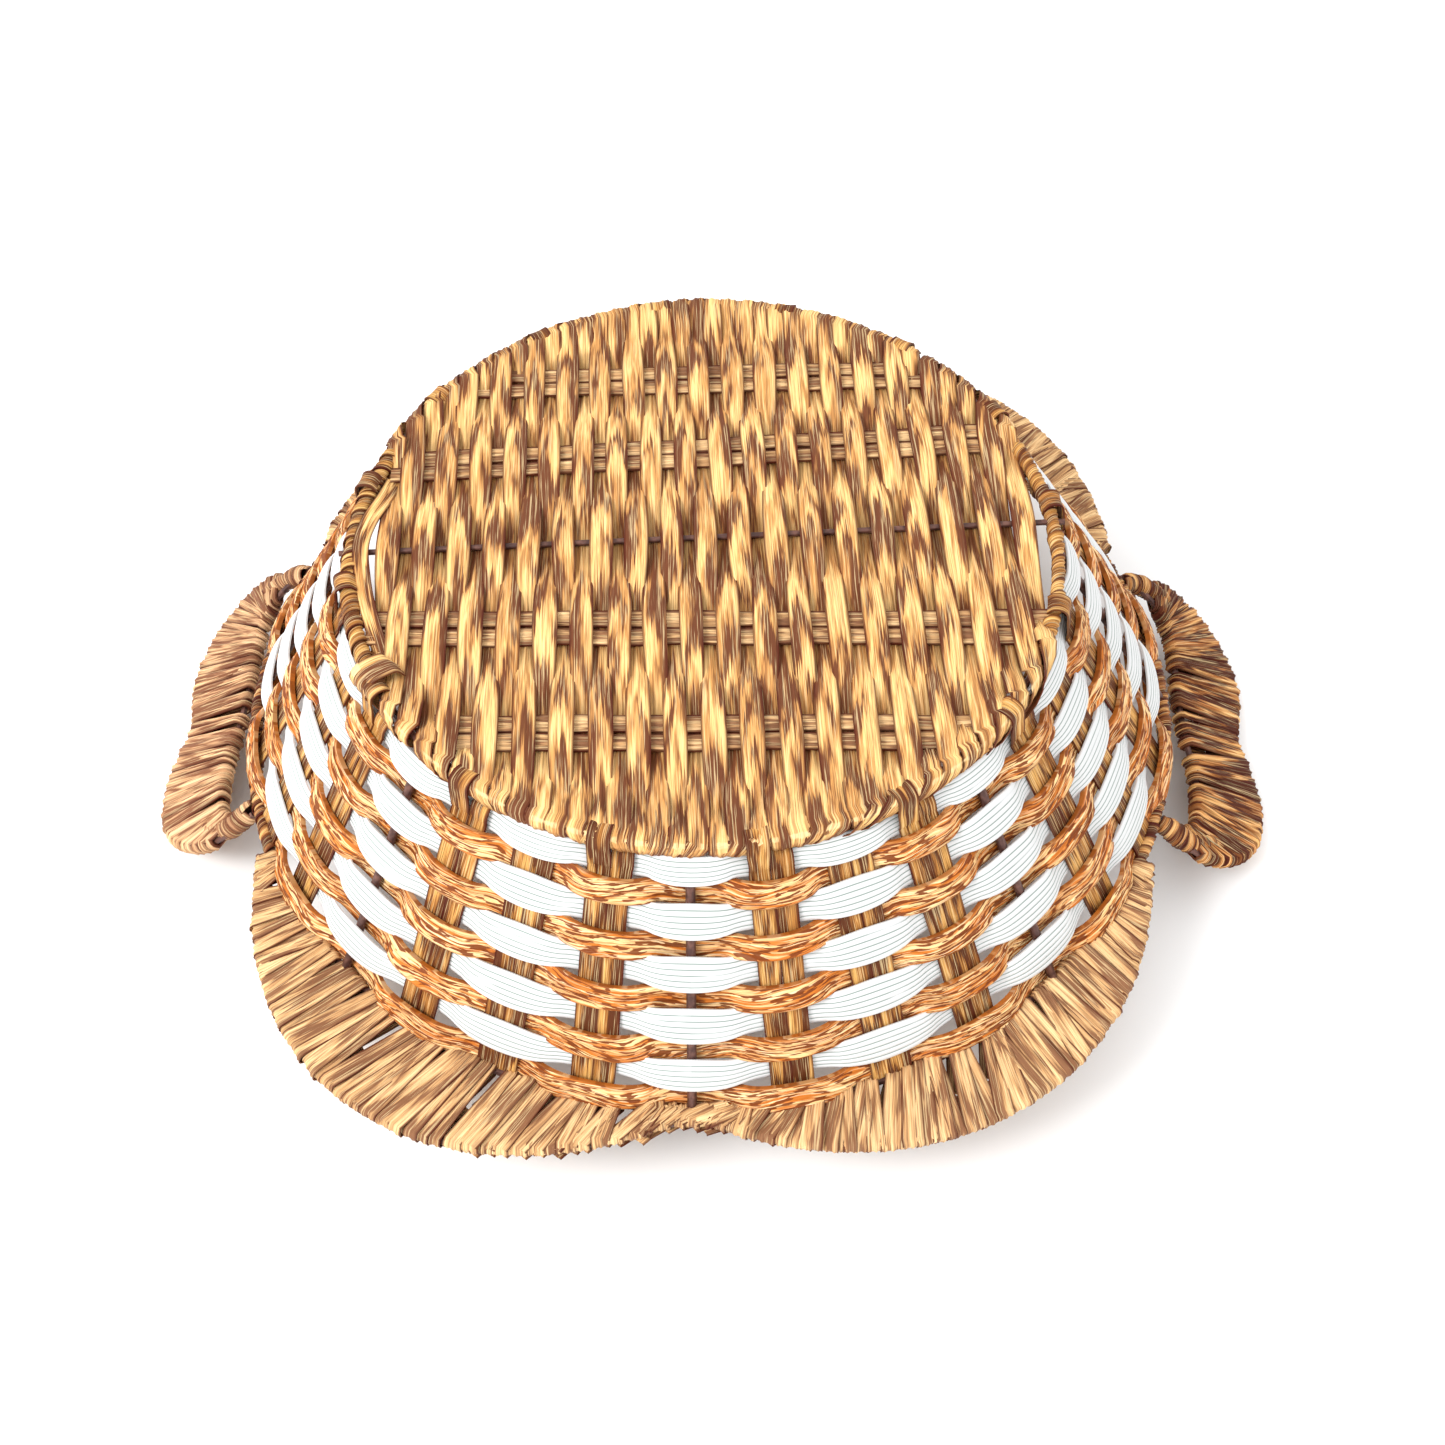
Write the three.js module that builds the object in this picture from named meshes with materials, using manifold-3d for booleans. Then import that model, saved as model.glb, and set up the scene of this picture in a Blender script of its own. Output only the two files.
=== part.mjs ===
// A round woven basket with a lobed border and two ear handles, standing upside down on its handles.
//
// The frame is steel wire: a base ring, a rim ring, a border wire and two wires in each handle. Thirty-two
// stakes run down the wall between the rings, every fourth a bare wire and the rest twin flat strips. Five
// wide ribbed bands and five narrow cane bands weave round the stakes in opposite phase. The base is one
// raffia strip laid to and fro across the ring, over and under four twin strips and a rod.
//
// Units are millimetres and +Z is up. The origin is on the floor under the basket's axis, the handles lie
// on the X axis, and the open mouth faces down.
import * as THREE from 'three';
import { mergeVertices } from 'three/addons/utils/BufferGeometryUtils.js';
import Module from 'manifold-3d';

// ---- Driving dimensions ----
const BASE_RADIUS = 116; // centreline of the base ring
const RIM_RADIUS = 163; // centreline of the rim ring
const WALL_HEIGHT = 79; // between the two rings' planes
const FRAME_WIRE = 1.2; // radius of the ring, border and handle wires
const STAKE_WIRE = 1.5; // radius of the bare stakes
const ROD_WIRE = 1; // radius of the base rod
const GAP = 0.4; // clearance between pieces that touch

const STAKES = 32;
const BARE_EVERY = 4; // every fourth stake is a bare wire
const TWIN_WIDTH = 13; // a twin strip: two flat strips side by side
const TWIN_THICKNESS = 1.8;
const TWIN_GROOVE = 0.4; // depth of the groove between the two, on each face

const ROWS = 5;
const CANE_WIDTH = 7;
const CANE_THICKNESS = 1.8;
const RIBBED_THICKNESS = 1.0;
const FIRST_CANE = 16; // distance of the first cane row down the wall from the base ring
const CANE_PITCH = 17.85;

const BASE_TURN = THREE.MathUtils.degToRad(3.7); // the base weave is turned this much from the handles
// Where the base's cross pieces meet its middle line, front to back, and how far each is turned from square.
const CROSS_PLACES = [-76, -34.5, 4.3, 43.5, 80];
const CROSS_TURNS = [-2.6, -2.7, 0.4, 1, -1.2].map(THREE.MathUtils.degToRad);
const ROD_PLACE = 2; // the third cross piece is the bare rod
const BASE_STRIPS = 37;
const BASE_STRIP_PITCH = 5.8;
const BASE_STRIP_WIDTH = 5.3;
const BASE_STRIP_SHIFT = 1; // of the middle strip, towards +X
const BASE_STRIP_THICKNESS = 0.7;
const RING_WRAP = 3; // half the side of the wrap round the base ring

const LOBE_START = THREE.MathUtils.degToRad(2); // half of the notch between two lobes
const LOBE_END = THREE.MathUtils.degToRad(64); // the border stops here, beside the handles
const FRONT_LOBES = [27, 22]; // how far each lobe swells beyond the rim, left and right as seen from outside
const BACK_LOBES = [23, 15];
const LEAST_WRAP = 0.4; // the strip of wrap that is left between the wires at the notch
const BORDER_START = RIM_RADIUS + 2 * (FRAME_WIRE + GAP) + LEAST_WRAP;
const BORDER_THICKNESS = 3;

const HANDLE_BACK = THREE.MathUtils.degToRad(1.1); // each handle sits this far behind the X axis
const HANDLE_SPREAD = THREE.MathUtils.degToRad(19.5); // from the handle's middle to each neck, round the rim
const HANDLE_TILT = THREE.MathUtils.degToRad(36); // below the rim's plane
const HANDLE_THICKNESS = 3;
// Half outlines of the handle's two wires, from neck to middle: [out from the rim's chord, along the chord].
const HANDLE_OUTER = [[3, 56.5], [12.5, 60], [24.5, 61.3], [34.5, 58.5], [43.5, 53], [50.5, 45], [54.5, 35],
  [56, 24], [53, 11], [50, 0]];
const HANDLE_INNER = [[4.5, 52.5], [12.5, 55.5], [20.5, 51], [24.5, 40], [25.5, 25], [24, 8], [24, 0]];

// ---- Derived dimensions ----
const HANDLE_REACH = Math.max(...HANDLE_OUTER.map(([out]) => out));
const RIM_Z = HANDLE_REACH * Math.sin(HANDLE_TILT) + FRAME_WIRE; // the handles stand on the floor
const BASE_Z = RIM_Z + WALL_HEIGHT;
const WALL_FLARE = RIM_RADIUS - BASE_RADIUS;
const WALL_LENGTH = Math.hypot(WALL_FLARE, WALL_HEIGHT);
const WALL_TILT = Math.atan2(WALL_FLARE, WALL_HEIGHT); // of the wall from the vertical
const WALL_TOP = RING_WRAP * (Math.sin(WALL_TILT) + Math.cos(WALL_TILT)) + GAP; // clear of the ring's wrap
const WALL_END = WALL_LENGTH - FRAME_WIRE - GAP; // clear of the rim ring
const STAKE_STEP = 2 * Math.PI / STAKES;

// ---- Materials ----
function finish(color, roughness, metalness = 0) {
  return new THREE.MeshStandardMaterial({ color, roughness, metalness });
}
const STEEL = finish(0x4a3530, 0.45, 0.8);
const RAFFIA = finish(0xb98a4a, 0.55);
const CANE = finish(0xb9713a, 0.45);
const WHITE = finish(0xf4f6f5, 0.35);

const basket = new THREE.Group();

function addMesh(parent, name, geometry, material) {
  const mesh = new THREE.Mesh(geometry, material);
  mesh.name = name;
  parent.add(mesh);
  return mesh;
}

function polygon(points) {
  return new THREE.Shape(points.map(([x, y]) => new THREE.Vector2(x, y)));
}

function roundSection(radius, sides = 6) {
  const corners = Array.from({ length: sides }, (_, i) => 2 * Math.PI * i / sides);
  return polygon(corners.map((a) => [radius * Math.cos(a), radius * Math.sin(a)]));
}

// A solid turned round +Z from a closed outline of [radius, height] points. Its angle starts at -Y and
// grows towards +X.
function turned(outline, segments, start = 0) {
  const points = [...outline, outline[0]].map(([r, h]) => new THREE.Vector2(r, h));
  return new THREE.LatheGeometry(points, segments, start).rotateX(Math.PI / 2);
}

function turnedWire(radius, segments) {
  const corners = Array.from({ length: 6 }, (_, i) => Math.PI * i / 3);
  return turned(corners.map((a) => [radius + FRAME_WIRE * Math.cos(a), FRAME_WIRE * Math.sin(a)]), segments);
}

function wireAlong(curve, steps) {
  return new THREE.ExtrudeGeometry(roundSection(FRAME_WIRE), { extrudePath: curve, steps });
}

function plate(points, thickness) {
  const geometry = new THREE.ExtrudeGeometry(polygon(points), { depth: thickness, bevelEnabled: false });
  return geometry.translate(0, 0, -thickness / 2);
}

// Two flat strips side by side, joined by the web between their grooves; it runs along +Z from the origin.
function twinStrip(length) {
  const x = TWIN_WIDTH / 2;
  const y = TWIN_THICKNESS / 2;
  const groove = y - TWIN_GROOVE;
  const section = [[-x, -y], [-TWIN_GROOVE, -y], [0, -groove], [TWIN_GROOVE, -y], [x, -y],
    [x, y], [TWIN_GROOVE, y], [0, groove], [-TWIN_GROOVE, y], [-x, y]];
  return new THREE.ExtrudeGeometry(polygon(section), { depth: length, bevelEnabled: false });
}

function bareWire(length, radius) {
  return new THREE.ExtrudeGeometry(roundSection(radius, 8), { depth: length, bevelEnabled: false });
}

// ---- Wall: stakes ----
// A point of the wall's slope, [radius, height], from how far down the slope it lies and how far outside it.
const DOWN = [Math.sin(WALL_TILT), -Math.cos(WALL_TILT)];
const OUT = [Math.cos(WALL_TILT), Math.sin(WALL_TILT)];

function wallPoint(along, off) {
  return [BASE_RADIUS + along * DOWN[0] + off * OUT[0], BASE_Z + along * DOWN[1] + off * OUT[1]];
}

// A stake lies along the wall's slope at the front, X across it, Y out of the wall and Z down the wall.
function addStake(index) {
  const bare = index % BARE_EVERY === 0;
  const length = WALL_END - WALL_TOP;
  const meridian = new THREE.Group();
  meridian.rotation.z = index * STAKE_STEP;
  basket.add(meridian);
  const name = `stake_${bare ? 'wire' : 'twin'}_${String(index).padStart(2, '0')}`;
  const shape = bare ? bareWire(length, STAKE_WIRE) : twinStrip(length);
  const stake = addMesh(meridian, name, shape, bare ? STEEL : RAFFIA);
  stake.rotation.x = Math.PI - WALL_TILT;
  const [radius, height] = wallPoint(WALL_TOP, 0);
  stake.position.set(0, -radius, height);
}

// ---- Wall: woven bands ----
// A band lies on the wall between two distances down the slope, and steps outside or inside each stake. Its
// corners sit a quarter of a stake's pitch to each side of every stake, so it crosses between them.
function wovenBand(top, bottom, thickness, outsideEvenStakes) {
  const half = thickness / 2;
  const corners = [[top, -half], [bottom, -half], [bottom, half], [top, half]];
  const outline = corners.map(([along, off]) => wallPoint(along, off));
  const band = turned(outline, 2 * STAKES, STAKE_STEP / 4);
  const reach = Math.max(TWIN_THICKNESS / 2, STAKE_WIRE) + 1.5 * GAP + half;
  const position = band.getAttribute('position');
  for (let i = 0; i < position.count; i++) {
    const angle = Math.atan2(position.getX(i), -position.getY(i));
    const stake = Math.round(angle / STAKE_STEP);
    const side = (stake % 2 === 0) === outsideEvenStakes ? reach : -reach;
    position.setXYZ(i,
      position.getX(i) + side * OUT[0] * Math.sin(angle),
      position.getY(i) - side * OUT[0] * Math.cos(angle),
      position.getZ(i) + side * OUT[1]);
  }
  return band;
}

function addBands(row) {
  const cane = FIRST_CANE + row * CANE_PITCH;
  const caneTop = cane - CANE_WIDTH / 2;
  const caneBottom = Math.min(cane + CANE_WIDTH / 2, WALL_END);
  const ribbedTop = row === 0 ? WALL_TOP : caneTop - CANE_PITCH + CANE_WIDTH + GAP;
  const ribbed = wovenBand(ribbedTop, caneTop - GAP, RIBBED_THICKNESS, true);
  const caneBand = wovenBand(caneTop, caneBottom, CANE_THICKNESS, false);
  addMesh(basket, `ribbed_band_${row + 1}`, ribbed, WHITE);
  addMesh(basket, `cane_band_${row + 1}`, caneBand, CANE);
}

// ---- Base ----
const wasm = await Module();
wasm.setup();

function toSolid(geometry) {
  const bare = geometry.clone();
  bare.deleteAttribute('normal');
  bare.deleteAttribute('uv');
  const merged = mergeVertices(bare, 1e-3);
  return new wasm.Manifold(new wasm.Mesh({
    numProp: 3,
    vertProperties: merged.getAttribute('position').array,
    triVerts: new Uint32Array(merged.index.array),
  }));
}

function toGeometry(solid) {
  const mesh = solid.getMesh();
  return new THREE.BufferGeometry()
    .setAttribute('position', new THREE.BufferAttribute(new Float32Array(mesh.vertProperties), 3))
    .setIndex(new THREE.BufferAttribute(new Uint32Array(mesh.triVerts), 1));
}

// The wrap round the base ring is a channel, open on the inside of the basket, that holds the ring wire.
function ringWrap() {
  const side = RING_WRAP;
  const hollow = FRAME_WIRE + GAP;
  const outline = [[-side, -side], [-hollow, -side], [-hollow, hollow], [hollow, hollow],
    [hollow, -side], [side, -side], [side, side], [-side, side]];
  return turned(outline.map(([r, z]) => [BASE_RADIUS + r, z]), 48);
}

// Half the length of a straight piece inside a circle, at a distance from the circle's middle.
function halfChord(radius, distance) {
  return Math.sqrt(radius ** 2 - distance ** 2);
}

// Each cross piece of the base, with its half width and its half height.
const BASE_CROSSES = CROSS_PLACES.map((middle, place) => {
  const rod = place === ROD_PLACE;
  return {
    middle,
    place,
    rod,
    turn: CROSS_TURNS[place],
    halfWidth: rod ? ROD_WIRE : TWIN_WIDTH / 2,
    halfHeight: rod ? ROD_WIRE : TWIN_THICKNESS / 2,
  };
});

// How far a cross piece reaches to one side of the middle line, just clear of the ring's wrap.
function crossReach({ middle, turn, halfWidth }, side) {
  const offset = middle * Math.cos(turn); // of its line from the ring's middle
  const slip = middle * Math.sin(turn); // from the line's nearest point to the middle line
  return halfChord(BASE_RADIUS - RING_WRAP - 1.5 * GAP, Math.abs(offset) + halfWidth) - side * slip;
}

// One pass of the base strip along Y: over or under each cross piece that it meets, and level from the last
// of them to the ring's wrap.
function baseStrip(index) {
  const across = (index - (BASE_STRIPS - 1) / 2) * BASE_STRIP_PITCH + BASE_STRIP_SHIFT;
  const reach = halfChord(BASE_RADIUS - FRAME_WIRE - GAP - 0.5, Math.abs(across) + BASE_STRIP_WIDTH / 2);
  const path = [];
  for (const cross of BASE_CROSSES) {
    const end = crossReach(cross, Math.sign(across)) * Math.cos(cross.turn);
    if (Math.abs(across) - BASE_STRIP_WIDTH / 2 > end + GAP) continue;
    const slope = Math.tan(cross.turn);
    const y = cross.middle + across * slope;
    const level = cross.halfWidth + GAP + BASE_STRIP_WIDTH / 2 * Math.abs(slope);
    const side = (index + cross.place) % 2 === 0 ? 1 : -1;
    const z = side * (cross.halfHeight + GAP + BASE_STRIP_THICKNESS / 2);
    path.push([y - level, z], [y + level, z]);
  }
  path[0][0] = -reach;
  path[path.length - 1][0] = reach;
  const half = BASE_STRIP_THICKNESS / 2;
  const outline = [...path.map(([y, z]) => [y, z - half]), ...path.reverse().map(([y, z]) => [y, z + half])];
  const strip = new THREE.ExtrudeGeometry(polygon(outline), { depth: BASE_STRIP_WIDTH, bevelEnabled: false });
  // The outline's axes are Y and Z, and its depth is X.
  const turn = new THREE.Matrix4().makeBasis(
    new THREE.Vector3(0, 1, 0), new THREE.Vector3(0, 0, 1), new THREE.Vector3(1, 0, 0));
  return strip.applyMatrix4(turn).translate(across - BASE_STRIP_WIDTH / 2, 0, 0);
}

function baseWeave() {
  let weave = toSolid(ringWrap());
  for (let i = 0; i < BASE_STRIPS; i++) weave = weave.add(toSolid(baseStrip(i)));
  return toGeometry(weave);
}

function addBase() {
  const base = new THREE.Group();
  base.position.z = BASE_Z;
  base.rotation.z = BASE_TURN;
  basket.add(base);
  addMesh(base, 'base_ring', turnedWire(BASE_RADIUS, 48), STEEL);
  addMesh(base, 'base_weave', baseWeave(), RAFFIA);
  let twins = 0;
  for (const cross of BASE_CROSSES) {
    const left = crossReach(cross, -1);
    const length = left + crossReach(cross, 1);
    const line = new THREE.Group();
    line.position.y = cross.middle;
    line.rotation.z = cross.turn;
    base.add(line);
    if (!cross.rod) twins += 1;
    const name = cross.rod ? 'base_rod' : `base_twin_${twins}`;
    const shape = cross.rod ? bareWire(length, ROD_WIRE) : twinStrip(length);
    const mesh = addMesh(line, name, shape, cross.rod ? STEEL : RAFFIA);
    mesh.rotation.set(Math.PI / 2, Math.PI / 2, 0);
    mesh.position.x = -left;
  }
}

// ---- Rim and border ----
// How far the border swells beyond its start at an angle: level across the notch, then a lobe on each side.
function lobe(angle, depths) {
  const share = Math.max(0, Math.abs(angle) - LOBE_START) / (LOBE_END - LOBE_START);
  return depths[angle < 0 ? 0 : 1] * Math.sin(Math.PI * share);
}

function addBorder(name, turn, depths) {
  const side = new THREE.Group();
  side.position.z = RIM_Z;
  side.rotation.z = turn;
  basket.add(side);
  const steps = 48;
  const angles = Array.from({ length: steps + 1 }, (_, i) => LOBE_END * (2 * i / steps - 1));
  const at = (radius, angle) => [radius * Math.sin(angle), -radius * Math.cos(angle)];
  const wire = angles.map((a) => new THREE.Vector3(...at(BORDER_START + lobe(a, depths), a), 0));
  addMesh(side, `border_wire_${name}`, wireAlong(new THREE.CatmullRomCurve3(wire), steps), STEEL);
  const clear = FRAME_WIRE + GAP;
  const outer = angles.map((a) => at(BORDER_START + lobe(a, depths) * 0.98 - clear, a));
  const inner = angles.map((a) => at(RIM_RADIUS + clear, a));
  addMesh(side, `border_wrap_${name}`, plate([...outer, ...inner.reverse()], BORDER_THICKNESS), RAFFIA);
}

// ---- Handles ----
function wholeOutline(half) {
  const mirrored = half.slice(0, -1).reverse().map(([out, along]) => [out, -along]);
  return [...half, ...mirrored].map(([out, along]) => new THREE.Vector3(out, along, 0));
}

// Points along a handle wire, moved sideways in the handle's plane, without the necks.
function besideWire(curve, distance) {
  const clearOfNeck = 0.14;
  const count = 32;
  return Array.from({ length: count + 1 }, (_, i) => {
    const u = clearOfNeck + (1 - 2 * clearOfNeck) * i / count;
    const at = curve.getPointAt(u);
    const along = curve.getTangentAt(u);
    return [at.x - along.y * distance, at.y + along.x * distance];
  });
}

function addHandle(name, turn) {
  const side = new THREE.Group();
  side.rotation.z = turn;
  basket.add(side);
  const plane = new THREE.Group();
  plane.position.set(RIM_RADIUS * Math.cos(HANDLE_SPREAD), 0, RIM_Z);
  plane.rotation.y = HANDLE_TILT;
  side.add(plane);
  const outer = new THREE.CatmullRomCurve3(wholeOutline(HANDLE_OUTER));
  const inner = new THREE.CatmullRomCurve3(wholeOutline(HANDLE_INNER));
  addMesh(plane, `handle_outer_wire_${name}`, wireAlong(outer, 44), STEEL);
  addMesh(plane, `handle_inner_wire_${name}`, wireAlong(inner, 36), STEEL);
  const clear = FRAME_WIRE + GAP;
  const outline = [...besideWire(outer, -clear), ...besideWire(inner, clear).reverse()];
  addMesh(plane, `handle_wrap_${name}`, plate(outline, HANDLE_THICKNESS), RAFFIA);
}

// ---- Assembly ----
for (let i = 0; i < STAKES; i++) addStake(i);
for (let row = 0; row < ROWS; row++) addBands(row);
addBase();
addMesh(basket, 'rim_ring', turnedWire(RIM_RADIUS, 2 * STAKES).translate(0, 0, RIM_Z), STEEL);
addBorder('front', 0, FRONT_LOBES);
addBorder('back', Math.PI, BACK_LOBES);
addHandle('right', HANDLE_BACK);
addHandle('left', Math.PI - HANDLE_BACK);

export default basket;
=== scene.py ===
"""Looks for a round woven basket that lies upside down on its two ear handles.

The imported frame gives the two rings, and with them the wall's cone. part.mjs states the other sizes. Every
strip is a real ribbon, swept along a curve worked out from those. It is in metres, with +Z up, the handles
near the X axis, and the open mouth facing down.
"""
import math

import bpy
import numpy as np
from mathutils import Matrix, Vector


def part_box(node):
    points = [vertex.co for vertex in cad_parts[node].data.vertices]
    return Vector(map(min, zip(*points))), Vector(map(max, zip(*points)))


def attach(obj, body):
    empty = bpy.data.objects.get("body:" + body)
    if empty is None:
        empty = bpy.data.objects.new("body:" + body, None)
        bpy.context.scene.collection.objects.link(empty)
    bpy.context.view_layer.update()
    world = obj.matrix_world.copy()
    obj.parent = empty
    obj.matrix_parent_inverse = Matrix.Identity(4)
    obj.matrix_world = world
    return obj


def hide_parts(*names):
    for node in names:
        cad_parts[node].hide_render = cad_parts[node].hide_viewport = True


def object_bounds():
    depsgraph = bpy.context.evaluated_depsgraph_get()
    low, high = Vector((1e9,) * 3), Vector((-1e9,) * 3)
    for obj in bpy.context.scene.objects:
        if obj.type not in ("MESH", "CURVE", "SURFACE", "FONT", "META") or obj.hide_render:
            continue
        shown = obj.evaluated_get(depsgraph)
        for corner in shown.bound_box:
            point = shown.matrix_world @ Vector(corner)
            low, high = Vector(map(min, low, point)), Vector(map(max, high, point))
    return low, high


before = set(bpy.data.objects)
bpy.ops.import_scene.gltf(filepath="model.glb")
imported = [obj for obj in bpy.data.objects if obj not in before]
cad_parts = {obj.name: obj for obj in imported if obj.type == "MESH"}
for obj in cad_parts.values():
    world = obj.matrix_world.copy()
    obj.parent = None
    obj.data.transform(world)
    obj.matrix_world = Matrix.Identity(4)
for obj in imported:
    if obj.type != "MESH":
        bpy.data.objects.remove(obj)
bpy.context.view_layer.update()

# ---- Sizes that part.mjs states, in metres ----
WIRE = 0.0012  # radius of the ring, border and handle wires
STAKE_WIRE = 0.0015  # radius of the bare stakes
ROD_WIRE = 0.001  # radius of the base rod
STAKES = 32
BARE_EVERY = 4
ROWS = 5
CANE_PITCH = 0.01785
BASE_TURN = math.radians(3.7)
CROSS_PLACES = (-0.076, -0.0345, 0.0043, 0.0435, 0.080)
CROSS_TURNS = [math.radians(turn) for turn in (-2.6, -2.7, 0.4, 1, -1.2)]
ROD_PLACE = 2
BASE_STRIPS = 37
BASE_STRIP_PITCH = 0.0058
BASE_STRIP_SHIFT = 0.001
LOBE_START = math.radians(2)
LOBE_END = math.radians(64)
FRONT_LOBES = (0.027, 0.022)
BACK_LOBES = (0.023, 0.015)
BORDER_GAP = 0.0036  # between the rim ring's centreline and the border wire's, at the notch
HANDLE_BACK = math.radians(1.1)
HANDLE_SPREAD = math.radians(19.5)
HANDLE_TILT = math.radians(36)
# Half of a handle's outer and inner wire, [out from the rim's chord, along it] in millimetres.
HANDLE_OUTER = [(3, 56.5), (12.5, 60), (24.5, 61.3), (34.5, 58.5), (43.5, 53), (50.5, 45), (54.5, 35),
                (56, 24), (53, 11), (50, 0)]
HANDLE_INNER = [(4.5, 52.5), (12.5, 55.5), (20.5, 51), (24.5, 40), (25.5, 25), (24, 8), (24, 0)]

# ---- Sizes of the visible strips, in metres ----
RAFFIA_THICKNESS = 0.0004
RIDGES = 3  # along a raffia strip's top
BAND_STEPS = 12  # of a band, between two stakes
CANE_WIDTH = 0.0084
CANE_THICKNESS = 0.0015
CANE_BOTTOM = 0.0199  # the first cane band's lower edge, down the wall from the base ring
CANE_MIDDLE = 0.0036  # a cane band's middle, up the wall from its lower edge
RIBBED_WIDTH = 0.0122
RIBBED_TOP = 0.0176  # a ribbed band's edges, up the wall from the lower edge of the cane band below it
RIBBED_BOTTOM = 0.0079
RIBS = 6
RING_CLEAR = 0.0036  # the first ribbed band starts at least this far down the wall
RIM_CLEAR = 0.0044  # the last cane band's middle stays this far up the wall from the rim
WIRE_CLEAR = 0.0008  # how much further a band stands from a bare wire than from a twin strip
STAKE_INSET = 0.001  # a stake ends this far up the wall from the rim, and a bare one from the base ring
TWIN_WIDTH = 0.0070  # of each half of a twin stake
TWIN_ASIDE = 0.0034  # from a twin stake's middle to each half's
TWIN_TOP = 0.0105  # from here a twin stake runs straight down the wall
BASE_STRIP_WIDTH = 0.0069
BASE_STRIP_LIFT = 0.0019  # how far a base strip rises and dips at the cross pieces
BASE_STRIP_STEP = 0.0024  # between two places along it
RING_LIFT = 0.0032  # a base strip's height where it comes to the ring
RING_EASE = 0.014  # the length over which it rises to that
FOLD_RADIUS = 0.0033  # of its end round the ring, where the end isn't creased
CREASE = 0.0024  # from its end's start to its crease
BASE_TWIN_WIDTH = 0.0064  # of each half of a base twin
BASE_TWIN_ASIDE = 0.0035  # from a base twin's middle to each half's
LAYER = 0.0003  # how far one turn lies over the next, at the border and the handles
FOLDS = (0.75, 0.9, 1.0, 1.15)  # the shares of the strip's width that a turn there may have
FULL_SQUARE = 0.01  # where the wires are this far apart, the turns go square round the outer one
BORDER_TURNS = 84
BORDER_WIDTHS = (0.0060, 0.0080)  # of the raffia at the inner wire and at the outer one
BORDER_MARGIN = 0.01  # between the border's end and the first turn, in radians round the basket
BORDER_LEAN = 0.045  # of the turns at the notch, in the same radians
BORDER_SCATTER = (0.012, 0.004)  # of the turns' places on the inner wire and on the outer one, in them too
HANDLE_TURNS = 45
HANDLE_WIDTHS = (0.0036, 0.0048)
HANDLE_WOUND = (0.10, 0.90)  # from which share of the outer wire's length to which
HANDLE_LEAN = 0.035  # of the turns, as a share of the inner wire's length
NECK = 0.14  # the share of a handle's length that is wound like a rope, at each end
NECK_ROPE = (0.0032, 0.0036, 0.0048)  # a rope-like winding's radius, its pitch and its strip's width
RIM_ROPE = (0.0018, 0.0052, 0.0058)
ROPE_STEPS = 18  # in one turn of a rope-like winding
ROPE_HALF = math.radians(27)  # the base ring is wound like a rope this far to each side of its rod's ends
ROPE_OVERLAP = 0.0004  # of the turns there
# The base ring's two windings: each one's middle, and its radius and its strip's width.
BASE_ROPES = ((math.pi / 2, 0.0017, 0.0056), (-math.pi / 2, 0.0022, 0.0068))

# How a twin stake's halves leave the base ring, [outwards, up] from the ring's centreline in millimetres.
# Outside the first ribbed band, one comes over the ring and the other from under it. Both of the next stake
# start behind that band.
OVER_RING = [(-2.6, 2.0), (-0.8, 4.0), (1.8, 4.2), (3.9, 2.9), (4.6, 0.2), (4.8, -2.8), (5.2, -5.4),
             (5.6, -8.2)]
UNDER_RING = [(1.0, -3.4), (3.2, -4.4), (4.6, -6.2), (5.4, -8.3)]
BEHIND_RING = [(-3.0, -4.4), (0.8, -4.8), (3.2, -6.4), (4.9, -8.3)]

# A base strip's creased end round the ring, [outwards, up] from the ring's centreline in millimetres.
RING_FOLD = [(0.8, 3.3), (1.9, 3.4), (3.0, 3.2), (3.5, 0.6), (3.2, -1.6), (2.2, -2.9), (0.2, -3.3),
             (-1.6, -2.7)]

# Two strips out of line on the left, [x, y, up] on the base's own axes in millimetres: one has slipped out
# of the weave across the slot beside the ring, and one is folded over the ring in front of it.
SLIPPED = [(-104, 36, -1), (-106, 27, 1.2), (-110.2, 16, 2.2), (-112.2, 5, 2.6), (-111, -8, 1.8),
           (-108.6, -20, 1.2), (-105.5, -31, 0.8), (-102.5, -40, -0.8)]
FOLDED = [(-105, -53, -3.2), (-108, -53, -1.5), (-108.6, -52.5, 1.5), (-106, -51, 4.4), (-101, -48.5, 5.2),
          (-99, -47.5, 4.6), (-97, -46.5, 1)]

# ---- Places read from the frame ----
rim_low, rim_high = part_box("rim_ring")
RIM_RADIUS = rim_high.y - WIRE
RIM_Z = (rim_low.z + rim_high.z) / 2
ring_low, ring_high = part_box("base_ring")
BASE_RADIUS = ring_high.y - WIRE
BASE_Z = (ring_low.z + ring_high.z) / 2
STAKE_STEP = 2 * math.pi / STAKES
WALL_LENGTH = math.hypot(RIM_RADIUS - BASE_RADIUS, BASE_Z - RIM_Z)
WALL_TILT = math.atan2(RIM_RADIUS - BASE_RADIUS, BASE_Z - RIM_Z)

UP = np.array([0.0, 0.0, 1.0])


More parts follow.
